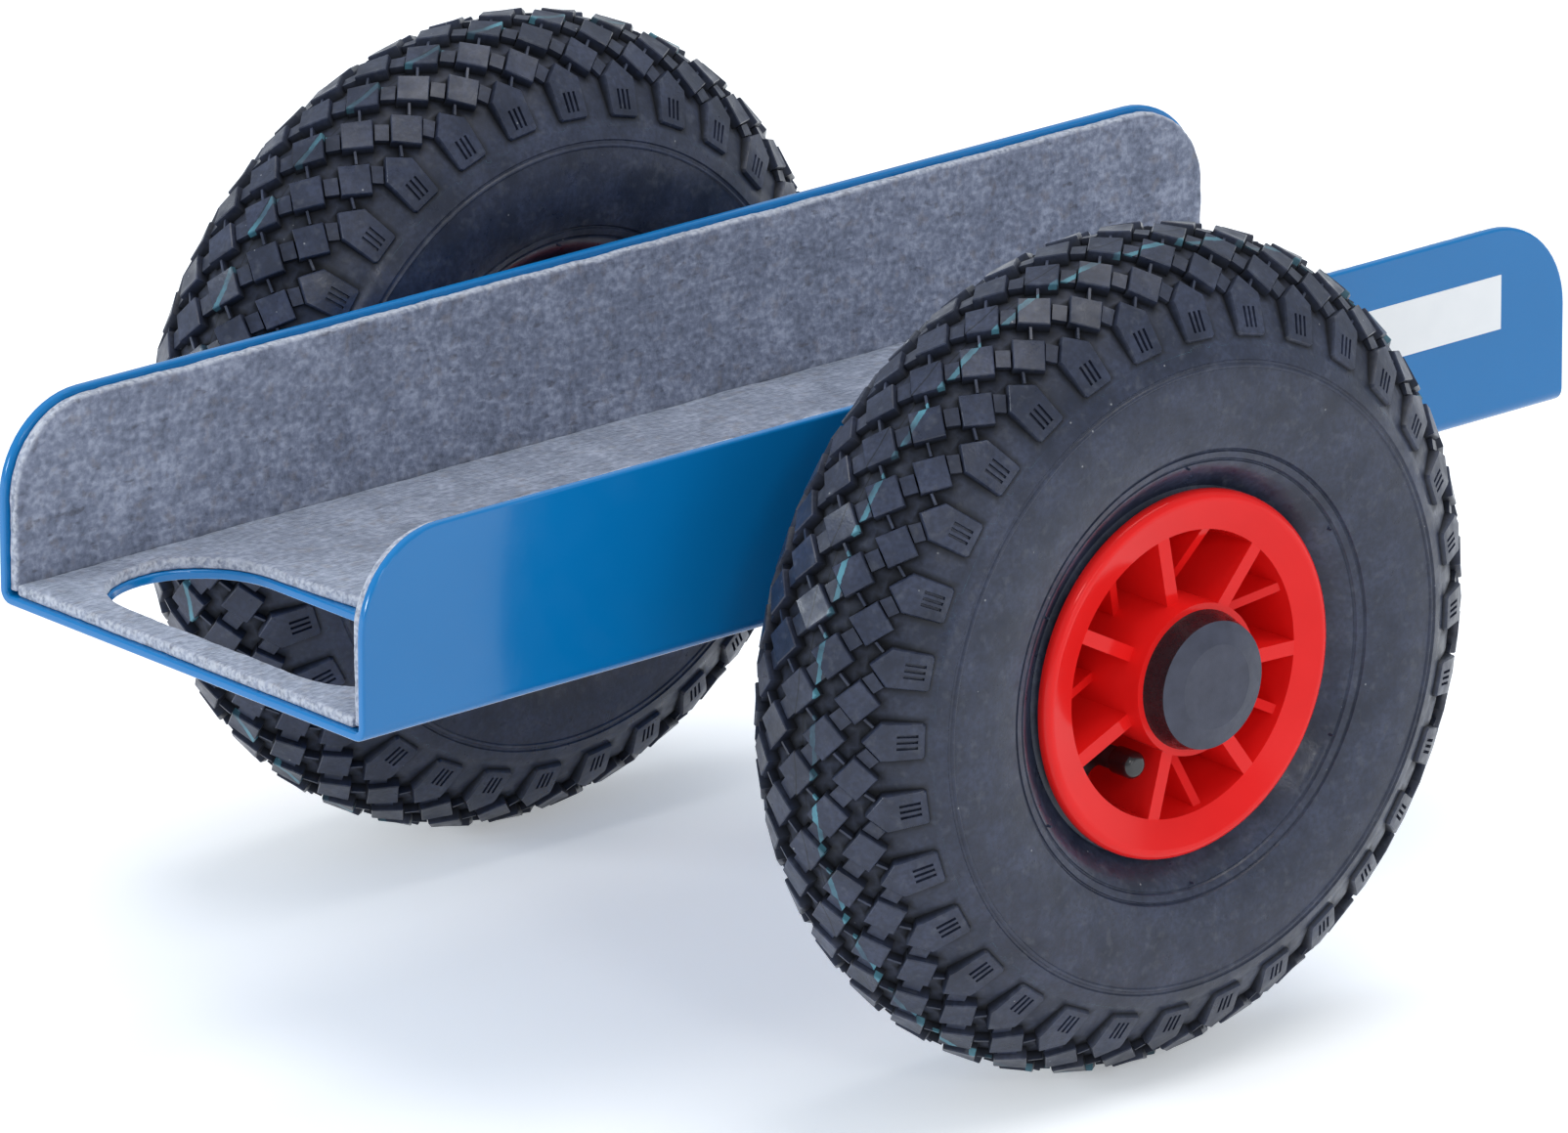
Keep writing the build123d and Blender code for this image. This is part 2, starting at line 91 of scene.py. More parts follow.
# Felt lining. Each ripple of a cut edge has a share, a size and a step to its seed.
FELT_SETBACK = 1.6
FELT_EDGE = 1.1
FELT_STEP = 4.0
FELT_CUT_STEP = 1.6
FELT_WAVE = 0.35
FELT_WAVE_SIZE = 26.0
FELT_NAP = 0.12
FELT_NAP_SIZE = 3.1
FELT_NAP_SEED = 3
FELT_CUT_WANDER = 0.5
FELT_CUT_RUN = 18.0
FELT_CUT_RIPPLES = ((0.5, 4.0, 7), (0.35, 1.9, 13))
FELT_CUT_OUTWARD = 0.2
FELT_GRID_GAP = 0.6
FELT_CREASE_ANGLE = 60.0
GRIP_FELT_MARGIN = 0.6
GRIP_FELT_SETBACK = 4.5
GRIP_SETBACK_MIDDLE = 5.0
GRIP_SETBACK_RUN = 25.0
FLOOR_CUT_SEED = 1.0
GRIP_CUT_SEED = 2.0
FLOOR_FELT_SEED = 11.0
NEAR_FELT_SEED = 21.0
FAR_FELT_SEED = 31.0

# Tyre section
TYRE_WIDEST_RADIUS = 85.0
RIM_LIP_RADIUS = 56.8
BEAD_FACE = 30.5
BEAD_WIDTH = 10.0
BEAD_HEIGHT = 7.0
BEAD_SEAT_RADIUS = 50.8
CARCASS_CROWN = 10.0
CARCASS_SIDE = 5.0
SECTION_STEPS = 720
SIDEWALL_STEPS = 22
INNER_WALL_STEPS = 6
INNER_CROWN_STEPS = 8
TYRE_CREASE_ANGLE = 32.0

# Tread, one pitch repeated round the tyre. Places across it are measured over the crown
# from the tyre's middle, and depths from the outer line down.
TREAD_PITCHES = 32
NEAR_TREAD_PHASE = 9.0
FAR_TREAD_PHASE = 7.875
PITCH_STEPS = 8
TREAD_DEPTH = 4.0
SHOULDER_DEPTH = 1.3
SHOULDER_FROM = 26.0
BAND_FROM = 47.8
BAND_RAMP = 0.8
BAND_DEPTH = 0.9
BAND_INNER_RADIUS = 97.5
BAND_INNER_SINK = 0.1
BAND_EDGE = 0.5
SIDEWALL_SINK = 0.6
RIM_HOLLOW_FROM = 65.4
RIM_HOLLOW_RUN = 6.0
RIM_HOLLOW_DEPTH = 2.6
BLOCK_ROWS = 6
ROW_SPACING = 9.75
BLOCK_HALF_ALONG = 7.2
BLOCK_HALF_ACROSS = 6.9
BLOCK_DRAFT = 0.45
BLOCK_EDGE = 0.3
LUG_TIP = 26.6
LUG_SHOULDER = 32.3
LUG_FOLD = 34.1
LUG_END = 45.5
LUG_HALF_WIDTH = 6.6
LUG_CORNER = 0.8
SIPE_FROM = 36.9
SIPE_TO = 43.4
SIPE_SPACING = 2.2
SIPE_WIDTH = 1.1
SIPE_DEPTH = 1.0
SIPE_SLOPE = 0.15
TIE_WIDTH = 1.1
TIE_DEPTH = 1.3
STEP_WIDTH = 6.2
STEP_DEPTH = 1.7
TIE_GAP = 0.05
FLOOR_STEP = 3.0
FLOOR_CLEARANCE = 0.5
NEAR_STRIPE = -11.2
FAR_STRIPE = -5.8
STRIPE_WIDTH = 1.7
SEAM_ACROSS = -5.0
SEAM_WIDTH = 0.45
OFF_TREAD = 99.0

# Stands for the depth of the groove floor where a point lies
GROOVE = None

# Rings and grooves moulded on the sidewall, as radius, height and half width, and vent whiskers
SIDEWALL_RINGS = ((95.6, 0.55, 0.7), (69.6, -0.75, 0.6), (66.5, -0.6, 0.55))
RING_STEPS = (-1.0, -0.5, 0.0, 0.5, 1.0)
WHISKERS = 6
WHISKER_RADIUS = 65.2
WHISKER_PHASE = 31.0
WHISKER_THICKNESS = 0.45
WHISKER_LENGTH = 1.6
WHISKER_SIDES = 6
WHISKER_TAPER = ((-0.5, 1.0), (0.6, 0.9), (1.0, 0.5))

# Studio: the floor's half side in metres and its glow where it is seen or mirrored, and each
# lamp's direction, strength, width in degrees and colour
FLOOR_HALF = 12.0
FLOOR_GLOW = 0.365
WORLD_COLOUR = (0.86, 0.93, 1.0, 1.0)
WORLD_STRENGTH = 0.62
LAMPS = {
    "overhead_softbox": ((0.2, -0.1, 1.0), 1.3, 42.0, (1.0, 0.98, 0.95)),
    "left_softbox": ((-0.85, 0.5, 0.25), 1.3, 14.0, (0.88, 0.95, 1.0)),
    "front_softbox": ((-0.35, -0.85, 0.5), 0.26, 9.0, (1.0, 1.0, 1.0)),
    "side_softbox": ((0.08, -0.985, 0.13), 0.17, 20.0, (1.0, 1.0, 1.0)),
}

# Most of a noise texture's values lie between these two
NOISE_LOW = 0.3
NOISE_HIGH = 0.7


def set_inputs(node, values):
    """Values for a node's inputs by name, with _ for a space."""
    for socket, value in values.items():
        node.inputs[socket.replace("_", " ")].default_value = value


class Surface:
    """A procedural material: one principled shader and helpers for the textures that drive it."""

    def __init__(self, name, **values):
        self.material = bpy.data.materials.new(name)
        self.material.use_nodes = True
        self.nodes = self.material.node_tree.nodes
        self.links = self.material.node_tree.links
        self.shader = self.nodes["Principled BSDF"]
        self.place = self.nodes.new("ShaderNodeTexCoord").outputs["Object"]
        set_inputs(self.shader, values)

    def node(self, kind, **values):
        node = self.nodes.new(kind)
        set_inputs(node, values)
        return node

    def drive(self, socket, source):
        self.links.new(source, self.shader.inputs[socket])

    def texture(self, kind, size, stretch=(1.0, 1.0, 1.0), **values):
        """A texture whose features are about size millimetres across."""
        node = self.node(kind, Scale=1.0, **values)
        mapping = self.node("ShaderNodeMapping", Scale=[1.0 / (part * size * MM) for part in stretch])
        self.links.new(self.place, mapping.inputs["Vector"])
        self.links.new(mapping.outputs["Vector"], node.inputs["Vector"])
        return node

    def noise(self, size, detail=3.0, stretch=(1.0, 1.0, 1.0)):
        return self.texture("ShaderNodeTexNoise", size, stretch, Detail=detail).outputs["Fac"]

    def cells(self, size):
        return self.texture("ShaderNodeTexVoronoi", size).outputs["Distance"]

    def ramp(self, source, *stops):
        node = self.nodes.new("ShaderNodeValToRGB")
        elements = node.color_ramp.elements
        while len(elements) < len(stops):
            elements.new(0.5)
        for element, (position, colour) in zip(elements, stops):
            element.position = position
            element.color = (*colour, 1.0)
        self.links.new(source, node.inputs["Fac"])
        return node.outputs["Color"]

    def remap(self, source, low, high, to_low, to_high):
        node = self.node(
            "ShaderNodeMapRange", From_Min=low, From_Max=high, To_Min=to_low, To_Max=to_high
        )
        self.links.new(source, node.inputs["Value"])
        return node.outputs["Result"]

    def tones(self, texture, dark, light):
        """A colour that follows a noise between two tones."""
        return self.ramp(texture, (NOISE_LOW, dark), (NOISE_HIGH, light))

    def vary(self, texture, low, high):
        """A value that follows a noise between two ends."""
        return self.remap(texture, NOISE_LOW, NOISE_HIGH, low, high)

    def math(self, operation, first, second):
        node = self.nodes.new("ShaderNodeMath")
        node.operation = operation
        for socket, value in zip(node.inputs, (first, second)):
            if isinstance(value, (int, float)):
                socket.default_value = value
            else:
                self.links.new(value, socket)
        return node.outputs["Value"]

    def add(self, first, second):
        return self.math("ADD", first, second)

    def scaled(self, source, factor):
        return self.math("MULTIPLY", source, factor)

    def size_of(self, source):
        return self.math("ABSOLUTE", source, 0.0)

    def mix(self, share, first, second):
        node = self.nodes.new("ShaderNodeMix")
        node.data_type = "RGBA"
        self.links.new(share, node.inputs["Factor"])
        for socket, value in (("A", first), ("B", second)):
            target = [item for item in node.inputs if item.name == socket and item.type == "RGBA"][0]
            if isinstance(value, tuple):
                target.default_value = (*value, 1.0)
            else:
                self.links.new(value, target)
        return [item for item in node.outputs if item.type == "RGBA"][0]

    def attribute(self, name):
        node = self.nodes.new("ShaderNodeAttribute")
        node.attribute_name = name
        return node.outputs["Fac"]

    def along_axle(self):
        """How far the surface faces along the axle, from 0 to 1."""
        coordinates = self.nodes.new("ShaderNodeTexCoord")
        parts = self.nodes.new("ShaderNodeSeparateXYZ")
        self.links.new(coordinates.outputs["Normal"], parts.inputs[0])
        return self.size_of(parts.outputs["Y"])

    def bump(self, height, distance):
        """Relief that is distance millimetres high."""
        node = self.node("ShaderNodeBump", Distance=distance * MM, Strength=1.0)
        self.links.new(height, node.inputs["Height"])
        self.drive("Normal", node.outputs["Normal"])


def plain(name, tone, dark, light, wear, roughness, grain, relief, **values):
    """A finish whose tone, gloss and relief each follow a noise of a size and detail."""
    look = Surface(name, **values)
    look.drive("Base Color", look.tones(look.noise(*tone), dark, light))
    look.drive("Roughness", look.vary(look.noise(*wear), *roughness))
    look.bump(look.noise(*grain), relief)
    return look.material


def blue_paint():
    """Powder coat: a fine orange peel under a clear gloss, a little uneven in tone."""
    return plain(
        "blue_paint_coat", tone=(90.0, 4.0), dark=(0.001, 0.172, 0.465), light=(0.002, 0.192, 0.515),
        wear=(14.0,), roughness=(0.13, 0.2), grain=(1.7, 2.0), relief=0.02,
        Specular_IOR_Level=0.35, Coat_Weight=0.25, Coat_Roughness=0.08,
    )


def grey_felt():
    """Pressed wool felt: mixed light and dark fibres, brown flecks, and cut edges painted paler, partly
    frayed fibre ends and partly a painted sheen.
    """
    look = Surface(
        "grey_felt_wool", Sheen_Weight=0.55, Sheen_Roughness=0.55, Sheen_Tint=(0.84, 0.92, 1.0, 1.0),
        Specular_IOR_Level=0.1, Roughness=0.95,
    )
    fibres = look.noise(2.2, 7.0)
    crossed = look.noise(1.4, 6.0, (3.2, 0.7, 1.6))
    clouds = look.noise(12.0, 4.0)
    blend = look.add(look.scaled(fibres, 0.42), look.scaled(crossed, 0.3))
    blend = look.add(blend, look.scaled(clouds, 0.28))
    colour = look.ramp(
        blend,
        (0.37, (0.125, 0.142, 0.2)),
        (0.5, (0.225, 0.25, 0.34)),
        (0.63, (0.4, 0.43, 0.54)),
    )
    brown = look.remap(look.noise(4.0, 4.0), 0.56, 0.7, 0.0, 0.45)
    colour = look.mix(brown, colour, (0.22, 0.19, 0.19))
    dark = look.remap(look.noise(2.2, 3.0, (2.5, 0.8, 1.2)), 0.64, 0.73, 0.0, 0.6)
    colour = look.mix(dark, colour, (0.07, 0.066, 0.085))
    # Paler cut edges: partly frayed fibre ends, partly a painted sheen along the edges.
    ends = look.remap(look.noise(1.4, 5.0), 0.38, 0.6, 0.1, 0.7)
    fray_and_sheen = look.scaled(look.attribute("cut"), ends)
    look.drive("Base Color", look.mix(fray_and_sheen, colour, (0.66, 0.68, 0.74)))
    look.bump(blend, 1.4)
    return look.material


def tyre_rubber():
    """Moulded rubber, mottled and dusty, with duller grooves, a mould seam and a worn paint stripe;
    grooves and block feet carry painted shade.
    """
    look = Surface("tyre_rubber_moulded", Specular_IOR_Level=0.38)
    tone = look.noise(14.0, 8.0)
    rubber = look.ramp(tone, (0.32, (0.018, 0.024, 0.046)), (0.68, (0.047, 0.058, 0.102)))
    bloom = look.remap(look.noise(1.6, 4.0), 0.36, 0.64, 0.0, 0.55)
    rubber = look.mix(bloom, rubber, (0.017, 0.02, 0.034))
    dust = look.remap(look.noise(3.4, 7.0), 0.56, 0.74, 0.0, 0.3)
    rubber = look.mix(dust, rubber, (0.12, 0.13, 0.155))
    specks = look.math("LESS_THAN", look.cells(9.0), 0.035)
    rubber = look.mix(look.scaled(specks, 0.5), rubber, (0.42, 0.43, 0.45))
    height = look.attribute("height")
    # Painted shade: groove floors are painted darker the deeper they lie.
    painted_groove_shade = look.remap(height, 0.0, 0.7, 0.4, 0.0)
    rubber = look.mix(painted_groove_shade, rubber, (0.008, 0.009, 0.014))
    crease = look.attribute("crease")
    # Painted shade: the feet of blocks and ties, marked as creases, are painted near black.
    rubber = look.mix(look.scaled(crease, 0.85), rubber, (0.003, 0.0033, 0.004))
    seam = look.math("LESS_THAN", look.size_of(look.attribute("from_seam")), SEAM_WIDTH / 2)
    rubber = look.mix(look.scaled(seam, 0.7), rubber, (0.006, 0.007, 0.009))
    offset = look.add(look.attribute("from_stripe"), look.vary(look.noise(30.0), -0.4, 0.4))
    fray = 0.6
    ragged = look.add(look.size_of(offset), look.scaled(look.noise(1.2, 2.0), fray))
    stripe = look.math("LESS_THAN", ragged, STRIPE_WIDTH / 2 + fray / 2)
    stripe = look.scaled(stripe, look.math("GREATER_THAN", height, 0.45))
    worn = look.remap(look.noise(16.0, 3.0), 0.4, 0.62, 0.15, 0.85)
    look.drive("Base Color", look.mix(look.scaled(stripe, worn), rubber, (0.1, 0.3, 0.38)))
    gloss = look.vary(look.noise(6.0, 5.0), 0.24, 0.48)
    dull = look.add(look.remap(height, 0.0, 0.7, 0.3, 0.0), look.scaled(crease, 0.2))
    look.drive("Roughness", look.add(gloss, dull))
    grain = look.scaled(look.noise(0.9, 3.0), 0.3)
    swell = look.scaled(look.noise(7.0, 5.0), 0.7)
    look.bump(look.add(grain, swell), 0.16)
    return look.material


def tube_rubber():
    """Thin dull rubber of the inner tube and its valve."""
    return plain(
        "tube_rubber_black", tone=(8.0,), dark=(0.012, 0.012, 0.014), light=(0.024, 0.024, 0.027),
        wear=(3.0,), roughness=(0.45, 0.6), grain=(0.8,), relief=0.04, Specular_IOR_Level=0.4,
    )


def red_plastic():
    """Injection-moulded plastic with faint flow marks."""
    flow = (30.0, 3.0, (1.0, 0.4, 1.0))
    return plain(
        "red_plastic_moulded", tone=flow, dark=(0.84, 0.014, 0.013), light=(0.9, 0.018, 0.017),
        wear=(4.0, 4.0), roughness=(0.08, 0.14), grain=(0.8, 2.0), relief=0.006, Specular_IOR_Level=0.18,
    )


def black_plastic():
    """Moulded plastic with a fine spark-eroded grain on its face and smooth sides that are painted near
    black as painted shade.
    """
    look = Surface("black_plastic_grained", Specular_IOR_Level=0.4)
    # Painted shade: faces that do not look along the axle, the cap's sides, get a near-black colour.
    face_grain_side_shade = look.remap(look.along_axle(), 0.5, 0.8, 0.0, 1.0)
    face = look.tones(look.noise(5.0, 5.0), (0.036, 0.04, 0.064), (0.052, 0.058, 0.09))
    look.drive("Base Color", look.mix(face_grain_side_shade, (0.012, 0.01, 0.013), face))
    wear = look.vary(look.noise(2.0, 4.0), 0.2, 0.34)
    look.drive("Roughness", look.add(wear, look.scaled(face_grain_side_shade, 0.18)))
    look.bump(look.noise(0.45, 3.0), 0.04)
    return look.material


def glossy_black_plastic():
    """Smooth black plastic of the valve caps."""
    return plain(
        "glossy_black_plastic", tone=(3.0, 3.0), dark=(0.006, 0.006, 0.007), light=(0.011, 0.011, 0.013),
        wear=(1.5, 3.0), roughness=(0.16, 0.26), grain=(0.5, 2.0), relief=0.01, Specular_IOR_Level=0.6,
    )


def zinc_steel():
    """Zinc-plated steel with a cloudy spangle."""
    return plain(
        "zinc_steel_plated", tone=(4.0, 5.0), dark=(0.5, 0.51, 0.53), light=(0.66, 0.67, 0.68),
        wear=(2.5, 5.0), roughness=(0.26, 0.44), grain=(0.6,), relief=0.015, Metallic=1.0,
    )


def bearing_steel():
    """Ground bearing steel with fine turning marks."""
    turning = (0.5, 2.0, (1.0, 8.0, 1.0))
    return plain(
        "bearing_steel_ground", tone=(6.0,), dark=(0.56, 0.56, 0.57), light=(0.68, 0.68, 0.69),
        wear=turning, roughness=(0.14, 0.26), grain=(0.4,), relief=0.006, Metallic=1.0,
    )


def white_label():
    """A blank vinyl sticker with a satin face."""
    return plain(
        "white_label_vinyl", tone=(12.0, 4.0), dark=(0.91, 0.92, 0.93), light=(0.95, 0.955, 0.96),
        wear=(3.0,), roughness=(0.36, 0.46), grain=(0.7,), relief=0.01, Specular_IOR_Level=0.4,
    )


def make_materials():
    makers = (
        blue_paint, grey_felt, tyre_rubber, tube_rubber, red_plastic,
        black_plastic, glossy_black_plastic, zinc_steel, bearing_steel, white_label,
    )
    return {maker.__name__: maker() for maker in makers}


def dress_nodes(materials):
    """Each node of the frame takes the finish of its material slot, and valve caps are glossy."""
    for node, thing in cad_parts.items():
        slots = [item.material.name.split(".")[0] for item in thing.material_slots]
        if node.endswith("valve_cap"):
            slots = ["glossy_black_plastic"]
        for index, name in enumerate(slots):
            thing.material_slots[index].material = materials[name]


def corners(node):
    """A node's lowest and highest corner in millimetres."""
    low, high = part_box(node)
    return Vector(low) / MM, Vector(high) / MM


def add_piece(mesh, body, material, nodes, crease_angle):
    """A smooth-shaded piece that rides on a body and replaces nodes of the frame."""
    for polygon in mesh.polygons:
        polygon.use_smooth = True
    mesh.set_sharp_from_angle(angle=math.radians(crease_angle))
    mesh.materials.append(material)
    piece = bpy.data.objects.new(mesh.name, mesh)
    bpy.context.collection.objects.link(piece)
    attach(piece, body)
    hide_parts(*nodes)
    return piece


def keep_flats_flat(piece):
    """Large faces keep their own normals, so that only the rounded edges shade round."""
    weighting = piece.modifiers.new("flat_faces", "WEIGHTED_NORMAL")
    weighting.keep_sharp = True


def arc(centre, radius, start, end, steps):
    """Points on an arc between two angles in degrees."""
    angles = [math.radians(start + (end - start) * i / steps) for i in range(steps + 1)]
    return [(centre[0] + radius * math.cos(a), centre[1] + radius * math.sin(a)) for a in angles]


def sides(loop):
    """The sides of a closed outline, each from one point to the next."""
    return zip(loop, loop[1:] + loop[:1])


def rounded_rectangle(low, high, radii):
    """A counterclockwise outline, with radii from the lowest corner round."""
    (x0, y0), (x1, y1) = low, high
    points = []
    places = ((x0, y0, 1, 1), (x1, y0, -1, 1), (x1, y1, -1, -1), (x0, y1, 1, -1))
    for turn, ((x, y, inward_x, inward_y), radius) in enumerate(zip(places, radii)):
        if radius:
            start = 180 + 90 * turn
            centre = (x + inward_x * radius, y + inward_y * radius)
            points += arc(centre, radius, start, start + 90, CORNER_STEPS)
        else:
            points.append((x, y))
    return points


def subdivided(loop, step):
    """The closed outline with its long sides cut into steps."""
    points = []
    for here, there in sides(loop):
        count = max(1, round(math.dist(here, there) / step))
        points += [
            (here[0] + (there[0] - here[0]) * i / count, here[1] + (there[1] - here[1]) * i / count)
            for i in range(count)
        ]
    return points


def left_normal(here, there):
    """The unit vector to the left of a run from one point to another."""
    length = math.dist(here, there)
    return (here[1] - there[1]) / length, (there[0] - here[0]) / length


def moved_left(loop, distance):
    """The closed outline with every side moved left, inward on a counterclockwise one."""
    moved = []
    for before, here, after in zip(loop[-1:] + loop[:-1], loop, loop[1:] + loop[:1]):
        a = left_normal(before, here)
        b = left_normal(here, after)
        scale = distance / max(MITRE_LIMIT, 1 + a[0] * b[0] + a[1] * b[1])
        moved.append((here[0] + (a[0] + b[0]) * scale, here[1] + (a[1] + b[1]) * scale))
    return moved


def encloses(loop, point):
    """Whether a point lies inside a closed outline."""
    x, y = point
    crossings = 0
    for here, there in sides(loop):
        if (here[1] > y) != (there[1] > y):
            share = (y - here[1]) / (there[1] - here[1])
            crossings += x < here[0] + (there[0] - here[0]) * share
    return crossings % 2 == 1


def grid_clear_of(loops, step, gap):
    """Grid points in the first outline's box that keep a gap to every outline."""
    lines = np.array([point for loop in loops for point in subdivided(loop, gap)])
    low, high = lines.min(axis=0), lines.max(axis=0)
    counts = np.maximum(1, np.round((high - low) / step)).astype(int)
    points = []
    for i in range(1, counts[0]):
        for j in range(1, counts[1]):
            point = low + (high - low) * (i / counts[0], j / counts[1])
            if np.hypot(*(lines - point).T).min() > gap:
                points.append(tuple(point))
    return points


def on_sheet(loops, point):
    """Whether a flat point lies within the first outline and in none of the holes after it."""
    return encloses(loops[0], point) and not any(encloses(hole, point) for hole in loops[1:])


def centroid(points, triangle):
    return tuple(sum((points[corner] for corner in triangle), Vector((0.0, 0.0))) / len(triangle))


def triangulated(points, edges, tolerance):
    """Points, the triangles over them, and the given points that each stands for."""
    flat = [Vector(point) for point in points]
    found, _, triangles, origins, _, _ = delaunay_2d_cdt(flat, edges, [], FILL_HULL, tolerance)
    return found, triangles, origins


def join_rings(bm, rings):
    """Faces between each closed ring of points and the next."""
    for lower, upper in zip(rings, rings[1:]):
        for i in range(len(lower)):
            bm.faces.new((lower[i - 1], lower[i], upper[i], upper[i - 1]))


def finished_mesh(bm, name):
    bmesh.ops.recalc_face_normals(bm, faces=bm.faces)
    mesh = bpy.data.meshes.new(name)
    bm.to_mesh(mesh)
    bm.free()
    return mesh


def sheet_mesh(name, loops, inside, place, thickness, edge):
    """A closed sheet with rounded edges.

    loops are flat outlines with the sheet on their left, inside are points between them, and
    place(x, y, depth) bends a flat point into space. A cut mark fades in over the edges.
    """
    quarter = [math.pi / 2 * i / EDGE_STEPS for i in range(EDGE_STEPS + 1)]
    profile = [(edge * (1 - math.sin(a)), edge * (1 - math.cos(a))) for a in quarter]
    profile += [(inset, thickness - depth) for inset, depth in reversed(profile)]
    bm = bmesh.new()
    cut = bm.verts.layers.float.new("cut")
    faces_at = {0: {}, len(profile) - 1: {}}
    flat = []
    edges = []
    insets = [moved_left(loop, edge) for loop in loops]
    for loop, inset_loop in zip(loops, insets):
        rings = []
        for inset, depth in profile:
            outline = moved_left(loop, inset)
            rings.append([bm.verts.new(Vector(place(x, y, depth)) * MM) for x, y in outline])
            for vertex in rings[-1]:
                vertex[cut] = 1.0 - inset / edge
        join_rings(bm, rings)
        first = len(flat)
        flat += inset_loop
        edges += [(first + i, first + (i + 1) % len(loop)) for i in range(len(loop))]
        for level in faces_at:
            faces_at[level].update({first + i: vertex for i, vertex in enumerate(rings[level])})
    rim_count = len(flat)
    flat += [point for point in inside if on_sheet(insets, point)]
    points, triangles, origins = triangulated(flat, edges, SHEET_TOLERANCE)
    triangles = [triangle for triangle in triangles if on_sheet(insets, centroid(points, triangle))]
    for level, known in faces_at.items():
        depth = profile[level][1]
        for index in range(rim_count, len(flat)):
            known[index] = bm.verts.new(Vector(place(*flat[index], depth)) * MM)
        for triangle in triangles:
            bm.faces.new([known[origins[corner][0]] for corner in triangle])
    bmesh.ops.delete(bm, geom=[v for v in bm.verts if not v.link_faces], context="VERTS")
    return finished_mesh(bm, name)


class Channel:
    """The channel's sizes, and the bend that turns its flat pattern into a U."""

    def __init__(self):
        low, high = corners("channel")
        self.half_length = high.x
        self.half_width = high.y
        self.bottom = low.z
        self.top = high.z
        self.bend_outside = BEND_INSIDE_RADIUS + SHEET
        self.flat_half = self.half_width - self.bend_outside
        self.bend_length = (BEND_INSIDE_RADIUS + SHEET / 2) * math.pi / 2
        self.wall_height = self.top - self.bottom - self.bend_outside
        self.reach = self.flat_half + self.bend_length + self.wall_height
        self.grip_x = -self.half_length + GRIP_FROM_END + GRIP_WIDTH / 2

    def place(self, x, across, depth):
        """depth runs from the outside of the bend to its inside."""
        side = 1 if across > 0 else -1
        past_floor = abs(across) - self.flat_half
        if past_floor <= 0:
            return x, across, self.bottom + depth
        radius = self.bend_outside - depth
        past_bend = past_floor - self.bend_length
        if past_bend <= 0:
            angle = past_floor / self.bend_length * math.pi / 2
            y = self.flat_half + radius * math.sin(angle)
            return x, side * y, self.bottom + self.bend_outside - radius * math.cos(angle)
        return x, side * (self.flat_half + radius), self.bottom + self.bend_outside + past_bend


def channel_outline(shape, rows):
    """The flat pattern, counterclockwise, with points on its ends where the bends cross them."""
    radius = WALL_CORNER_RADIUS
    x = shape.half_length - radius
    y = shape.reach - radius
    right_end = [(shape.half_length, row) for row in rows]
    left_end = [(-shape.half_length, row) for row in reversed(rows)]
    near_left = arc((-x, -y), radius, 180, 270, CORNER_STEPS)
    near_right = arc((x, -y), radius, 270, 360, CORNER_STEPS)
    far_right = arc((x, y), radius, 0, 90, CORNER_STEPS)
    far_left = arc((-x, y), radius, 90, 180, CORNER_STEPS)
    return near_left + near_right + right_end + far_right + far_left + left_end


def grip_outline(shape):
    """The grip hole, a counterclockwise slot across the channel."""
    far = arc((shape.grip_x, GRIP_HALF_STRAIGHT), GRIP_WIDTH / 2, 0, 180, ROUND_END_STEPS)
    near = arc((shape.grip_x, -GRIP_HALF_STRAIGHT), GRIP_WIDTH / 2, 180, 360, ROUND_END_STEPS)
    return far + near


def bent_channel(shape):
    """The channel folded from its flat pattern, with the grip hole cut out."""
    bend = [shape.flat_half + shape.bend_length * i / BEND_STEPS for i in range(BEND_STEPS + 1)]
    rows = [-row for row in reversed(bend)] + bend
    columns = [shape.half_length * (2 * i / CHANNEL_COLUMNS - 1) for i in range(1, CHANNEL_COLUMNS)]
    inside = [(x, row) for x in columns for row in rows]
    loops = [channel_outline(shape, rows), grip_outline(shape)[::-1]]
    return sheet_mesh("channel_bent_sheet", loops, inside, shape.place, SHEET, SHEET_EDGE)


def wander(point, size, seed):
    """A smooth offset between -1 and 1 that changes over about size millimetres."""
    return noise.noise(Vector((point[0] / size, point[1] / size, seed)))


def hand_cut(loop, seed):
    """An outline cut with shears, which strays a little from the straight."""
    moved = []
    for index, point in enumerate(loop):
        normal = left_normal(loop[index - 1], point)
        ripple = sum(share * wander(point, size, seed + step) for share, size, step in FELT_CUT_RIPPLES)
        stray = FELT_CUT_WANDER * (wander(point, FELT_CUT_RUN, seed) + ripple)
        stray = max(stray, -FELT_CUT_OUTWARD * FELT_CUT_WANDER)
        moved.append((point[0] + normal[0] * stray, point[1] + normal[1] * stray))
    return moved


def felt_height(point, share, seed):
    """How far the felt's face stands off its flat at a point, more at the face than at the glue."""
    wave = FELT_WAVE * wander(point, FELT_WAVE_SIZE, seed)
    nap = FELT_NAP * wander(point, FELT_NAP_SIZE, seed + FELT_NAP_SEED)
    return share * (wave + nap - FELT_WAVE / 2)


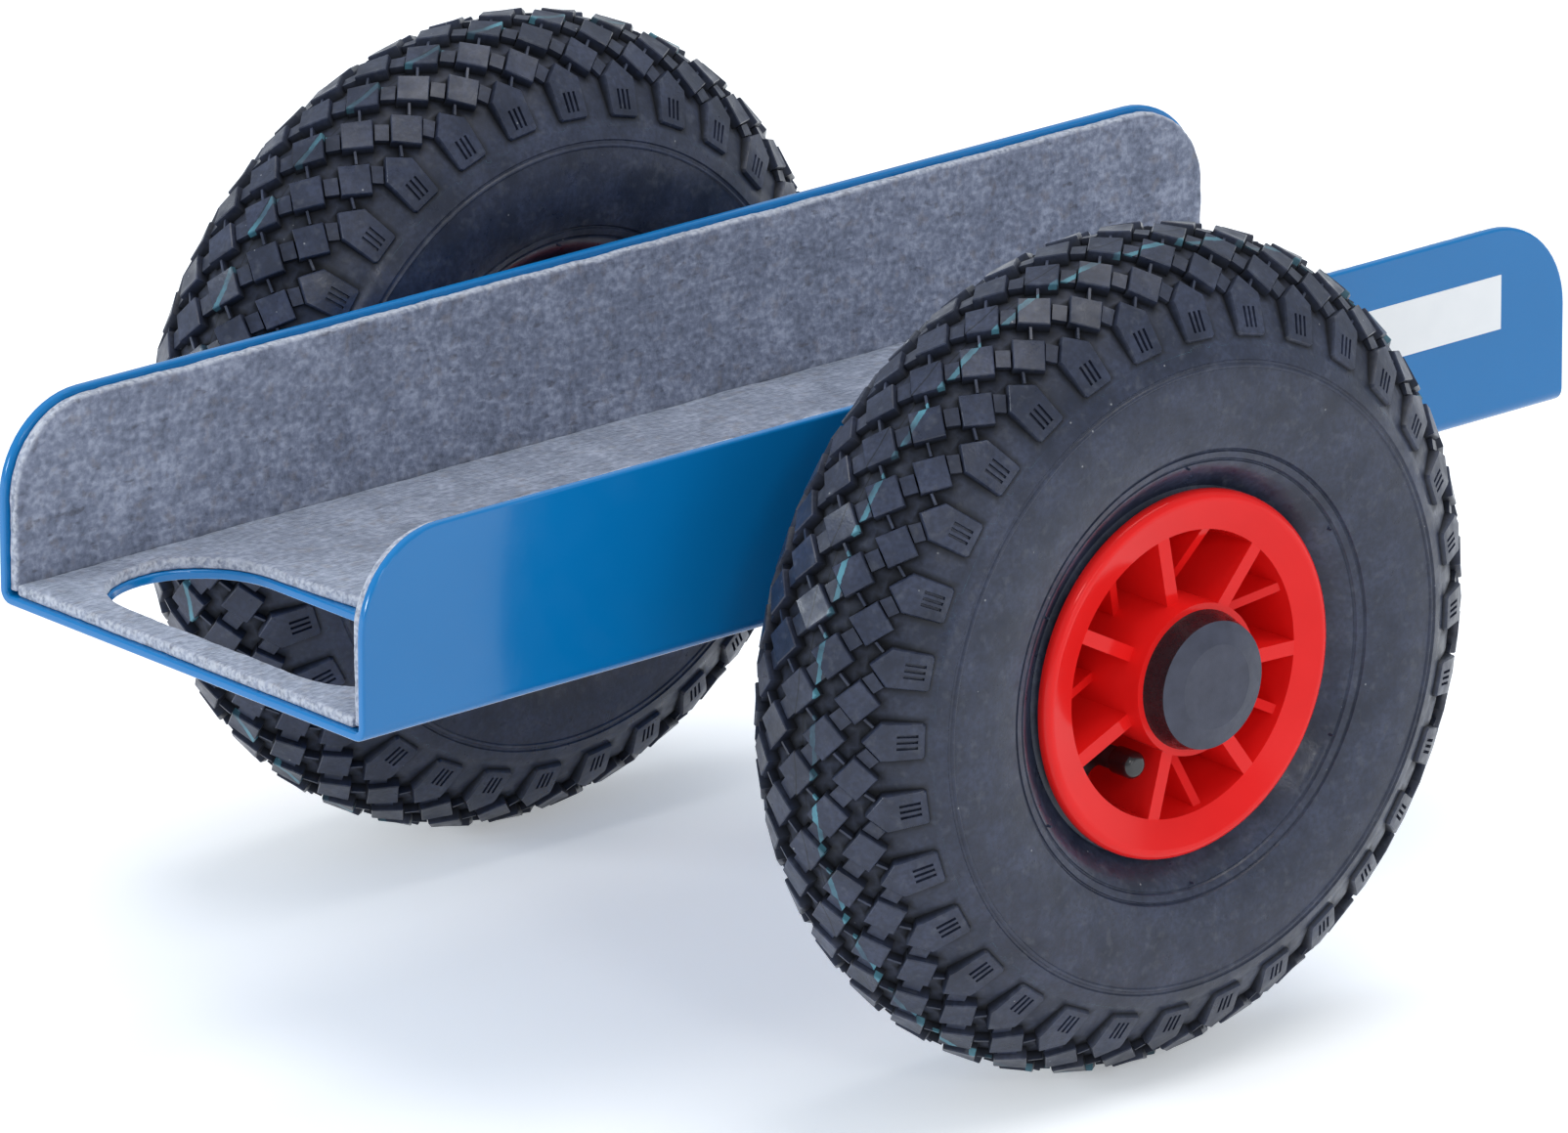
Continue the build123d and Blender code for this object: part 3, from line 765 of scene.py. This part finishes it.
def felt_floor_mesh(shape):
    """The strip on the floor, with a hole cut round the grip hole."""
    low, high = corners("floor_felt")
    thickness = high.z - low.z
    outline = rounded_rectangle((low.x, low.y), (high.x, high.y), [0, 0, 0, 0])
    outline = hand_cut(subdivided(outline, FELT_CUT_STEP), FLOOR_CUT_SEED)
    hole = subdivided(grip_outline(shape), FELT_CUT_STEP)[::-1]
    hole = hand_cut(moved_left(hole, GRIP_FELT_MARGIN), GRIP_CUT_SEED)
    hole = [(x + grip_setback(x, y, shape), y) for x, y in hole]

    def place(x, y, depth):
        return x, y, low.z + depth + felt_height((x, y), depth / thickness, FLOOR_FELT_SEED)

    inside = grid_clear_of([outline, hole], FELT_STEP, FELT_STEP * FELT_GRID_GAP)
    return sheet_mesh("floor_felt_strip", [outline, hole], inside, place, thickness, FELT_EDGE)


def grip_setback(x, y, shape):
    """The felt's hole is cut wider on its inner side, most towards the near wall."""
    inner = max(0.0, (x - shape.grip_x) / (GRIP_WIDTH / 2))
    near = 0.5 - 0.5 * math.tanh((y - GRIP_SETBACK_MIDDLE) / GRIP_SETBACK_RUN)
    return GRIP_FELT_SETBACK * inner * near


def felt_wall_mesh(side, node, seed):
    """The strip on one wall, rounded at its upper corners as the wall is."""
    low, high = corners(node)
    thickness = high.y - low.y
    glued = high.y if side > 0 else low.y
    corner = WALL_CORNER_RADIUS - FELT_SETBACK
    outline = rounded_rectangle((low.x, low.z), (high.x, high.z), [0, 0, corner, corner])
    outline = hand_cut(subdivided(outline, FELT_CUT_STEP), seed)

    def place(x, z, depth):
        return x, glued - side * (depth + felt_height((x, z), depth / thickness, seed)), z

    inside = grid_clear_of([outline], FELT_STEP, FELT_STEP * FELT_GRID_GAP)
    return sheet_mesh(node + "_strip", [outline], inside, place, thickness, FELT_EDGE)


def add_felt(shape, materials):
    """Three strips of felt, each cut flat and glued into the channel."""
    strips = {
        "floor_felt": felt_floor_mesh(shape),
        "near_wall_felt": felt_wall_mesh(-1, "near_wall_felt", NEAR_FELT_SEED),
        "far_wall_felt": felt_wall_mesh(1, "far_wall_felt", FAR_FELT_SEED),
    }
    felt = materials["grey_felt"]
    for node, mesh in strips.items():
        piece = add_piece(mesh, "chassis", felt, [node], FELT_CREASE_ANGLE)


class TyreSection:
    """The tyre's outer line: an ellipse over the crown and another down to the bead."""

    def __init__(self, node):
        low, high = corners(node)
        self.radius = (high.x - low.x) / 2
        self.half_width = (high.y - low.y) / 2
        self.middle = (low + high) / 2
        self.crown = self.radius - TYRE_WIDEST_RADIUS
        share = math.sqrt(1 - (BEAD_FACE / self.half_width) ** 2)
        self.lower = (TYRE_WIDEST_RADIUS - RIM_LIP_RADIUS) / share
        turns = np.linspace(0.0, math.pi / 2, SECTION_STEPS + 1)
        radii = TYRE_WIDEST_RADIUS + self.crown * np.cos(turns)
        widths = self.half_width * np.sin(turns)
        steps = np.hypot(np.diff(radii), np.diff(widths))
        self.turns = turns
        self.lengths = np.concatenate(([0.0], np.cumsum(steps)))

    def at(self, across, depth):
        """Radius and width at a distance over the tread from its middle, at a depth below it."""
        turn = float(np.interp(abs(across), self.lengths, self.turns))
        normal = Vector((math.cos(turn) / self.crown, math.sin(turn) / self.half_width)).normalized()
        radius = TYRE_WIDEST_RADIUS + self.crown * math.cos(turn) - depth * normal.x
        width = self.half_width * math.sin(turn) - depth * normal.y
        return radius, math.copysign(width, across)

    def wall(self, radius, sink):
        """Width of the sidewall at a radius, sunk below the outer line."""
        rise = radius - TYRE_WIDEST_RADIUS
        share = rise / (self.crown if rise > 0 else self.lower)
        return self.half_width * math.sqrt(max(0.0, 1 - share * share)) - sink


def groove_depth(across):
    """Grooves grow shallow over the shoulders and end at a plain band."""
    past = abs(across)
    if past >= BAND_FROM - BAND_RAMP / 2:
        return BAND_DEPTH
    share = min(1.0, max(0.0, (past - SHOULDER_FROM) / (LUG_END - SHOULDER_FROM)))
    return TREAD_DEPTH + (SHOULDER_DEPTH - TREAD_DEPTH) * share


class PitchPlan:
    """One pitch of the tread laid flat: points with their depths, and the outlines between them.

    A piece stands in the middle of the pitch or, where it is staggered, half at each end.
    """

    def __init__(self, pitch):
        self.half = pitch / 2
        self.points = []
        self.depths = []
        self.creases = []
        self.edges = []
        self.feet = []

    def middles(self, staggered):
        return (-self.half, self.half) if staggered else (0.0,)

    def line(self, points, depth, closed=True, crease=0.0):
        """Joined points at one depth. A crease mark puts painted shade on the foot of a block."""
        first = len(self.points)
        count = len(points)
        self.points += points
        self.depths += [depth] * count
        self.creases += [crease] * count
        joined = count if closed else count - 1
        self.edges += [(first + i, first + (i + 1) % count) for i in range(joined)]

    def ring(self, outline, depth, staggered, crease=0.0):
        for middle in self.middles(staggered):
            kept = within(moved_along(outline, middle), self.half)
            if len(kept) > 1:
                self.line(kept, depth, len(kept) > 2, crease)

    def keep_clear(self, outline, staggered=False):
        grown = moved_left(outline, -FLOOR_CLEARANCE)
        self.feet += [moved_along(grown, middle) for middle in self.middles(staggered)]

    def island(self, outline, staggered):
        """A block with sloping sides and a narrow rounded edge."""
        foot = moved_left(outline, -BLOCK_DRAFT)
        self.keep_clear(foot, staggered)
        self.ring(foot, GROOVE, staggered, crease=1.0)
        self.ring(outline, BLOCK_EDGE, staggered)
        self.ring(moved_left(outline, BLOCK_EDGE), 0.0, staggered)

    def tie(self, outline, depth):
        """A low bar across a groove."""
        self.keep_clear(outline)
        self.ring(outline, GROOVE, False, crease=1.0)
        self.ring(moved_left(outline, BLOCK_EDGE / 2), depth, False)

    def free(self, point):
        return not any(inside_convex(foot, point) for foot in self.feet)

    def close(self):
        """The pitch's border, and loose points over the groove floors."""
        border = BAND_FROM
        columns = [self.half * (2 * i / PITCH_STEPS - 1) for i in range(PITCH_STEPS + 1)]
        rows = int((border - BAND_RAMP) / FLOOR_STEP)
        levels = [(border - BAND_RAMP) * i / rows for i in range(-rows, rows + 1)]
        for x in columns:
            for across in levels:
                if self.free((x, across)):
                    self.line([(x, across)], GROOVE, closed=False)
        for side in (-1, 1):
            self.line([(x, side * border) for x in columns], GROOVE, closed=False)
            end = side * self.half
            rail = [i for i, p in enumerate(self.points) if abs(p[0] - end) < PITCH_TOLERANCE]
            rail.sort(key=lambda i: self.points[i][1])
            self.edges += list(zip(rail, rail[1:]))


def moved_along(outline, distance):
    return [(x + distance, across) for x, across in outline]


def within(outline, half):
    """The part of a convex outline between a pitch's two ends."""
    for side in (-1, 1):
        kept = []
        for here, there in sides(outline):
            room_here = half - side * here[0]
            room_there = half - side * there[0]
            if room_here >= 0:
                kept.append(here)
            if room_here * room_there < 0:
                share = room_here / (room_here - room_there)
                kept.append((side * half, here[1] + (there[1] - here[1]) * share))
        outline = kept
    return outline


def inside_convex(outline, point):
    """Whether a point lies inside a counterclockwise convex outline."""
    for here, there in sides(outline):
        normal = left_normal(here, there)
        if (point[0] - here[0]) * normal[0] + (point[1] - here[1]) * normal[1] < 0:
            return False
    return True


def diamond(across):
    """A block's outline, with its middle at a place across the tread."""
    return [
        (BLOCK_HALF_ALONG, across),
        (0.0, across + BLOCK_HALF_ACROSS),
        (-BLOCK_HALF_ALONG, across),
        (0.0, across - BLOCK_HALF_ACROSS),
    ]


def mirrored(outline, side):
    """The outline on its own side of the tread, kept counterclockwise."""
    if side > 0:
        return outline
    return [(x, -across) for x, across in reversed(outline)]


def lug_outline():
    """A lug with a pointed tip towards the crown and clipped outer corners."""
    w = LUG_HALF_WIDTH
    c = LUG_CORNER
    return [
        (0.0, LUG_TIP), (w, LUG_SHOULDER), (w, LUG_END - c), (w - c, LUG_END),
        (c - w, LUG_END), (-w, LUG_END - c), (-w, LUG_SHOULDER),
    ]


def add_lug(plan, side, staggered):
    """A shoulder lug with a fold across its top and three sipes."""
    plan.island(mirrored(lug_outline(), side), staggered)
    inner = LUG_HALF_WIDTH - BLOCK_EDGE
    plan.ring([(-inner, side * LUG_FOLD), (inner, side * LUG_FOLD)], 0.0, staggered)
    for step in (-1, 0, 1):
        left = step * SIPE_SPACING - SIPE_WIDTH / 2
        right = left + SIPE_WIDTH
        sipe = mirrored([(left, SIPE_FROM), (right, SIPE_FROM), (right, SIPE_TO), (left, SIPE_TO)], side)
        plan.ring(sipe, 0.0, staggered)
        plan.ring(moved_left(sipe, SIPE_SLOPE), SIPE_DEPTH, staggered)


def bridge(first, second, width):
    """A bar of a width from one straight edge to another that faces it, kept just clear of both."""
    first = [Vector(point) for point in first]
    second = [Vector(point) for point in second]
    along = (first[1] - first[0]).normalized()
    over = Vector((-along.y, along.x))
    if over.dot(second[0] - first[0]) < 0:
        over = -over
    spans = [sorted(point.dot(along) for point in edge) for edge in (first, second)]
    middle = (max(low for low, _ in spans) + min(high for _, high in spans)) / 2
    clear = BLOCK_DRAFT + TIE_GAP
    ends = []
    for edge, lift in ((first, clear), (second, -clear)):
        run = edge[1] - edge[0]
        for place in (middle - width / 2, middle + width / 2):
            share = (place - edge[0].dot(along)) / run.dot(along)
            ends.append(edge[0] + run * share + over * lift)
    outline = [tuple(ends[i]) for i in (0, 1, 3, 2)]
    turn = sum(a[0] * b[1] - a[1] * b[0] for a, b in sides(outline))
    return outline if turn > 0 else outline[::-1]


def facing_edge(outline, side_along, side_across):
    """The slanted edge of a diamond or of a lug's tip that looks to one side along and across."""
    best = None
    for edge in sides(outline):
        normal = left_normal(*edge)
        score = min(-normal[0] * side_along, -normal[1] * side_across)
        if best is None or score > best[0]:
            best = (score, edge)
    return best[1]


def add_ties(plan, rows):
    """Between neighbours in two rows, a thin bar on one slant and a broad step on the other."""
    for (lower, lower_staggered), (upper, _) in zip(rows, rows[1:]):
        for side in (-1, 1):
            lean = -side if lower_staggered else side
            lower_middle = side * plan.half if lower_staggered else 0.0
            upper_middle = side * plan.half - lower_middle
            first = facing_edge(moved_along(lower, lower_middle), lean, 1)
            second = facing_edge(moved_along(upper, upper_middle), -lean, -1)
            if lean > 0:
                plan.tie(bridge(first, second, STEP_WIDTH), STEP_DEPTH)
            else:
                plan.tie(bridge(first, second, TIE_WIDTH), TIE_DEPTH)


def pitch_plan(section):
    """Blocks in staggered rows, a lug on each shoulder and ties between them all."""
    plan = PitchPlan(2 * math.pi * section.radius / TREAD_PITCHES)
    rows = [(mirrored(lug_outline(), -1), False)]
    for row in range(BLOCK_ROWS):
        block = diamond((row - (BLOCK_ROWS - 1) / 2) * ROW_SPACING)
        rows.append((block, row % 2 == 0))
        plan.island(*rows[-1])
    rows.append((lug_outline(), BLOCK_ROWS % 2 == 0))
    add_lug(plan, -1, rows[0][1])
    add_lug(plan, 1, rows[-1][1])
    add_ties(plan, rows)
    plan.close()
    return plan


def sidewall_rows(section):
    """Radius and width down one wall, from the tread's plain band to the bead and up the inside."""
    start, start_width = section.at(BAND_FROM, BAND_DEPTH)
    start_sink = section.wall(start, 0.0) - start_width
    radii = {start, BAND_INNER_RADIUS, BAND_INNER_RADIUS - BAND_EDGE}
    for radius, _, half in SIDEWALL_RINGS:
        radii.update(radius + half * step for step in RING_STEPS)
    radii.update(np.linspace(start, RIM_LIP_RADIUS, SIDEWALL_STEPS))
    rows = []
    for radius in sorted(radii, reverse=True):
        if radius > start or radius < RIM_LIP_RADIUS:
            continue
        if radius >= BAND_INNER_RADIUS:
            share = (radius - BAND_INNER_RADIUS) / (start - BAND_INNER_RADIUS)
            sink = BAND_INNER_SINK + (start_sink - BAND_INNER_SINK) * share
        else:
            hollow = min(1.0, max(0.0, (RIM_HOLLOW_FROM - radius) / RIM_HOLLOW_RUN))
            sink = SIDEWALL_SINK + RIM_HOLLOW_DEPTH * hollow * hollow * (3 - 2 * hollow)
        for ring, height, half in SIDEWALL_RINGS:
            sink -= height * max(0.0, 1 - (abs(radius - ring) / half) ** 2)
        rows.append((radius, section.wall(radius, sink)))
    toe = BEAD_FACE - BEAD_WIDTH
    rows += [(BEAD_SEAT_RADIUS, BEAD_FACE), (BEAD_SEAT_RADIUS, toe)]
    inner_half = section.half_width - CARCASS_SIDE
    first = math.asin(toe / inner_half)
    lower = (TYRE_WIDEST_RADIUS - BEAD_SEAT_RADIUS - BEAD_HEIGHT) / math.cos(first)
    for step in range(INNER_WALL_STEPS):
        turn = first + (math.pi / 2 - first) * step / INNER_WALL_STEPS
        rows.append((TYRE_WIDEST_RADIUS - lower * math.cos(turn), inner_half * math.sin(turn)))
    for step in range(INNER_CROWN_STEPS):
        turn = math.radians(90 - 90 * step / INNER_CROWN_STEPS)
        radius = TYRE_WIDEST_RADIUS + (section.crown - CARCASS_CROWN) * math.cos(turn)
        rows.append((radius, inner_half * math.sin(turn)))
    return rows


class TyreMesh:
    """Collects a tyre's faces, turned about the axle."""

    def __init__(self, section, phase, stripe):
        self.section = section
        self.phase = math.radians(phase)
        self.stripe = stripe
        self.bm = bmesh.new()
        layers = self.bm.verts.layers.float
        self.marks = [layers.new(name) for name in ("from_stripe", "from_seam", "crease", "height")]

    def vertex(self, radius, width, turn, across=OFF_TREAD, height=1.0, crease=0.0):
        """A point with the marks that the rubber's finish follows."""
        turn += self.phase
        place = self.section.middle + Vector((radius * math.cos(turn), width, radius * math.sin(turn)))
        vertex = self.bm.verts.new(place * MM)
        values = (across - self.stripe, across - SEAM_ACROSS, crease, height)
        for mark, value in zip(self.marks, values):
            vertex[mark] = value
        return vertex

    def add_tread(self, plan):
        """The flat pitch wrapped over the section and repeated round the tyre."""
        points, triangles, origins = triangulated(plan.points, plan.edges, TREAD_TOLERANCE)
        spots = []
        for point, origin in zip(points, origins):
            depth = plan.depths[origin[0]]
            floor = groove_depth(point.y)
            depth = floor if depth is GROOVE else min(depth, floor)
            height = 1 - depth / TREAD_DEPTH
            place = self.section.at(point.y, depth)
            crease = plan.creases[origin[0]]
            spots.append((*place, point.x / self.section.radius, point.y, height, crease))
        for pitch in range(TREAD_PITCHES):
            turn = 2 * math.pi * pitch / TREAD_PITCHES
            verts = [self.vertex(r, w, angle + turn, *marks) for r, w, angle, *marks in spots]
            for triangle in triangles:
                self.bm.faces.new([verts[corner] for corner in triangle])

    def add_walls(self):
        """Both sidewalls, the beads and the inside."""
        rows = sidewall_rows(self.section)
        inner_crown = self.section.radius - CARCASS_CROWN
        ring = rows + [(inner_crown, 0.0)] + [(r, -w) for r, w in reversed(rows)]
        count = TREAD_PITCHES * PITCH_STEPS
        turns = [2 * math.pi * (i - PITCH_STEPS / 2) / count for i in range(count)]
        rings = [[self.vertex(r, w, turn) for turn in turns] for r, w in ring]
        join_rings(self.bm, rings)

    def add_whiskers(self):
        """Short rubber whiskers left by the mould's vents."""
        for side in (-1, 1):
            for index in range(WHISKERS):
                turn = math.radians(WHISKER_PHASE + 360 * index / WHISKERS) - self.phase
                base = self.section.wall(WHISKER_RADIUS, SIDEWALL_SINK)
                self.add_whisker(turn, side, base)

    def add_whisker(self, turn, side, base):
        rings = []
        for length, thick in WHISKER_TAPER:
            ring = []
            for step in range(WHISKER_SIDES):
                angle = math.radians(360 / WHISKER_SIDES * step)
                radius = WHISKER_RADIUS + WHISKER_THICKNESS * thick * math.cos(angle)
                swing = WHISKER_THICKNESS * thick * math.sin(angle) / WHISKER_RADIUS
                width = side * (base + WHISKER_LENGTH * length)
                ring.append(self.vertex(radius, width, turn + swing))
            rings.append(ring)
        join_rings(self.bm, rings)
        self.bm.faces.new(rings[0])
        self.bm.faces.new(rings[-1])

    def finish(self, name):
        bmesh.ops.remove_doubles(self.bm, verts=self.bm.verts, dist=MERGE_DISTANCE * MM)
        return finished_mesh(self.bm, name)


def add_tyre(side, phase, stripe, materials):
    node = side + "_tyre"
    section = TyreSection(node)
    tyre = TyreMesh(section, phase, stripe)
    tyre.add_tread(pitch_plan(section))
    tyre.add_walls()
    tyre.add_whiskers()
    mesh = tyre.finish(node + "_treaded")
    rubber = materials["tyre_rubber"]
    add_piece(mesh, side + "_wheel", rubber, [node], TYRE_CREASE_ANGLE)


def add_floor():
    """A large pale floor under everything."""
    ends = (-FLOOR_HALF, FLOOR_HALF)
    mesh = bpy.data.meshes.new("floor")
    mesh.from_pydata([(x, y, 0) for x in ends for y in ends], [], [(0, 2, 3, 1)])
    floor = bpy.data.objects.new("floor", mesh)
    bpy.context.collection.objects.link(floor)
    look = Surface(
        "studio_floor", Base_Color=(0.93, 0.935, 0.945, 1.0), Emission_Color=(0.93, 0.965, 1.0, 1.0),
        Roughness=0.9, Specular_IOR_Level=0.1,
    )
    rays = look.nodes.new("ShaderNodeLightPath").outputs
    mirrored_rays = look.math("MAXIMUM", rays["Is Glossy Ray"], rays["Is Transmission Ray"])
    seen = look.math("MAXIMUM", rays["Is Camera Ray"], mirrored_rays)
    look.drive("Emission Strength", look.scaled(seen, FLOOR_GLOW))
    mesh.materials.append(look.material)


def add_sun(name, towards, energy, angle, colour):
    """A soft lamp that shines from a direction."""
    lamp = bpy.data.lights.new(name, "SUN")
    lamp.energy = energy
    lamp.angle = math.radians(angle)
    lamp.color = colour
    thing = bpy.data.objects.new(name, lamp)
    thing.rotation_euler = Vector(towards).to_track_quat("Z", "Y").to_euler()
    bpy.context.collection.objects.link(thing)


def add_light():
    world = bpy.data.worlds.new("studio")
    bpy.context.scene.world = world
    world.use_nodes = True
    background = world.node_tree.nodes["Background"]
    set_inputs(background, {"Color": WORLD_COLOUR, "Strength": WORLD_STRENGTH})
    for name, settings in LAMPS.items():
        add_sun(name, *settings)


def add_camera():
    """The camera that took the photograph, aimed near the middle of the axle."""
    azimuth = math.radians(CAMERA_AZIMUTH)
    elevation = math.radians(CAMERA_ELEVATION)
    roll = math.radians(CAMERA_ROLL)
    level = math.cos(elevation)
    back = Vector((math.sin(azimuth) * level, -math.cos(azimuth) * level, math.sin(elevation)))
    right = Vector((math.cos(azimuth), math.sin(azimuth), 0.0))
    up = back.cross(right)
    rolled = right * math.cos(roll) + up * math.sin(roll)
    up = up * math.cos(roll) - right * math.sin(roll)
    right = rolled
    offset = right * CAMERA_RIGHT + up * CAMERA_UP + back * CAMERA_DISTANCE
    place = Vector((0.0, 0.0, AXLE_HEIGHT)) + offset
    data = bpy.data.cameras.new("camera")
    data.sensor_fit = "HORIZONTAL"
    data.sensor_width = CAMERA_SENSOR
    data.lens = CAMERA_LENS
    camera = bpy.data.objects.new("camera", data)
    turned = Matrix((right, up, back)).transposed().to_4x4()
    camera.matrix_world = Matrix.Translation(place * MM) @ turned
    bpy.context.collection.objects.link(camera)
    bpy.context.scene.camera = camera


def main():
    materials = make_materials()
    dress_nodes(materials)
    shape = Channel()
    sheet = bent_channel(shape)
    paint = materials["blue_paint"]
    channel = add_piece(sheet, "chassis", paint, ["channel"], SHEET_CREASE_ANGLE)
    keep_flats_flat(channel)
    add_felt(shape, materials)
    add_tyre("near", NEAR_TREAD_PHASE, NEAR_STRIPE, materials)
    add_tyre("far", FAR_TREAD_PHASE, FAR_STRIPE, materials)
    add_floor()
    add_light()
    add_camera()
    bpy.context.scene.view_settings.view_transform = "Standard"


main()
